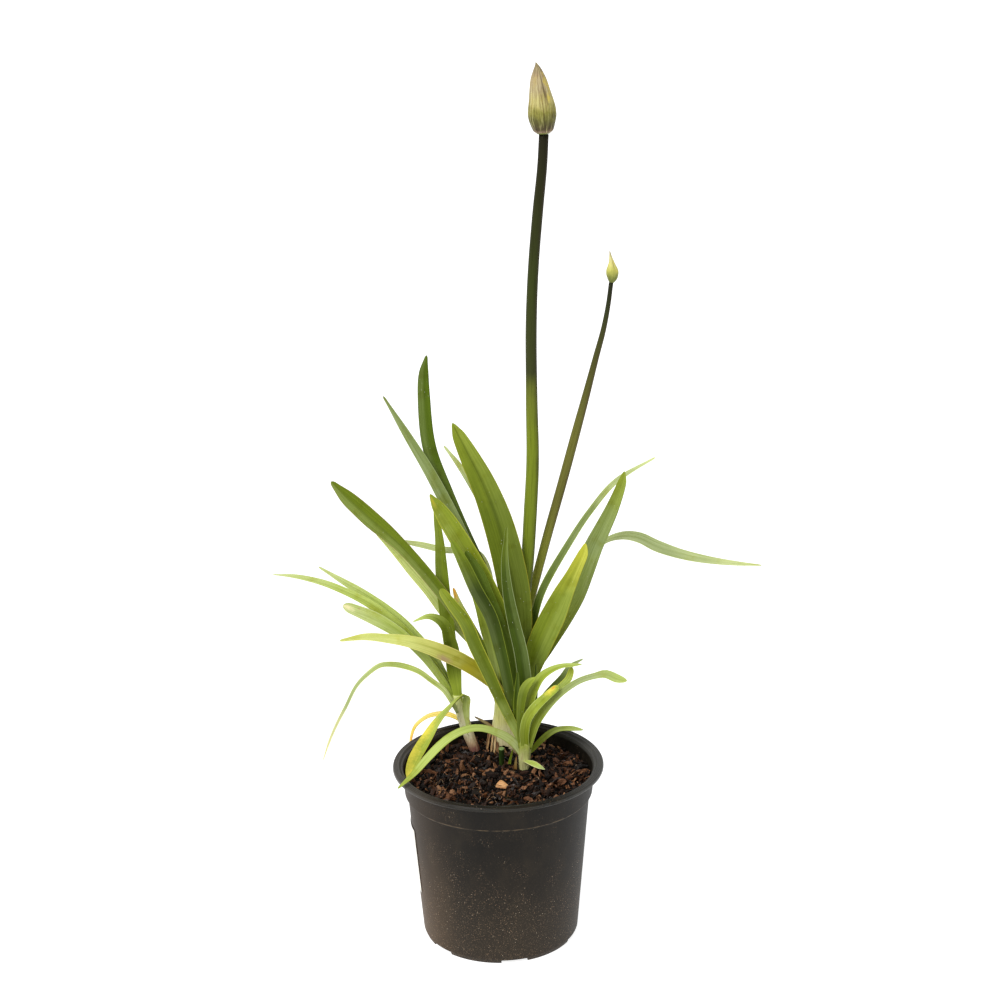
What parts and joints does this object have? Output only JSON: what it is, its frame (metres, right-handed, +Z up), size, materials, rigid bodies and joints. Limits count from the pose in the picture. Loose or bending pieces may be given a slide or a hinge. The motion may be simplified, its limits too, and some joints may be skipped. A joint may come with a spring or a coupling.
{
  "type": "potted agapanthus plant",
  "caption": "Potted agapanthus with long arching strap leaves in several shoots and bare flower stalks with closed buds, in bark mix in a round black nursery pot with a blank label.",
  "frame": {"origin": "centre of the pot's underside, on the surface it stands on", "axes": "+Z up along the pot's axis; the label is on the -X side and the free front shoot on the -Y side"},
  "size_m": [0.4431, 0.19, 0.7771],
  "materials": {
    "leaf": "satin green strap leaf, from deep green to yellow",
    "leaf_base": "cream-green leaf bases, slightly glossy",
    "stalk": "smooth green stalk, darker and browner upward",
    "bud": "papery satin bud sheath",
    "dry_sheath": "dry papery leaf remains",
    "potting_mix": "rough bark and compost crumbs",
    "bark": "dry split bark",
    "pot_plastic": "satin black plastic with dust specks",
    "label": "bare white adhesive label"
  },
  "bodies": {
    "root": {"pot": "pot_plastic", "soil": "potting_mix", "label": "label", "bark_chip": "bark", "neck_main": "leaf_base", "neck_left": "leaf_base", "neck_front": "leaf_base", "papery_sheath": "dry_sheath", "dry_blade": "dry_sheath", "dry_scale": "dry_sheath", "young_blade": "leaf", "cut_stub": "stalk", "scape_tall": "stalk", "scape_short": "stalk", "bud_tall": "bud", "bud_short": "bud", "leaf_main_01": "leaf", "leaf_main_02": "leaf", "leaf_main_03": "leaf", "leaf_main_04": "leaf", "leaf_main_05": "leaf", "leaf_main_06": "leaf", "leaf_main_07": "leaf", "leaf_main_08": "leaf", "leaf_main_09": "leaf", "leaf_main_10": "leaf", "leaf_main_11": "leaf", "leaf_main_12": "leaf", "leaf_main_13": "leaf", "leaf_main_14": "leaf", "leaf_main_15": "leaf", "leaf_main_16": "leaf", "leaf_main_17": "leaf", "leaf_left_01": "leaf", "leaf_left_02": "leaf", "leaf_left_03": "leaf", "leaf_left_04": "leaf", "leaf_left_05": "leaf", "leaf_left_06": "leaf", "leaf_left_07": "leaf", "leaf_left_08": "leaf", "leaf_front_01": "leaf", "leaf_front_02": "leaf", "leaf_front_03": "leaf", "leaf_front_04": "leaf", "leaf_front_05": "leaf", "leaf_front_06": "leaf", "leaf_front_07": "leaf", "leaf_front_08": "leaf", "leaf_front_09": "leaf", "leaf_front_10": "leaf", "leaf_front_11": "leaf", "leaf_front_12": "leaf", "leaf_front_13": "leaf", "leaf_front_14": "leaf"}
  },
  "joints": []
}
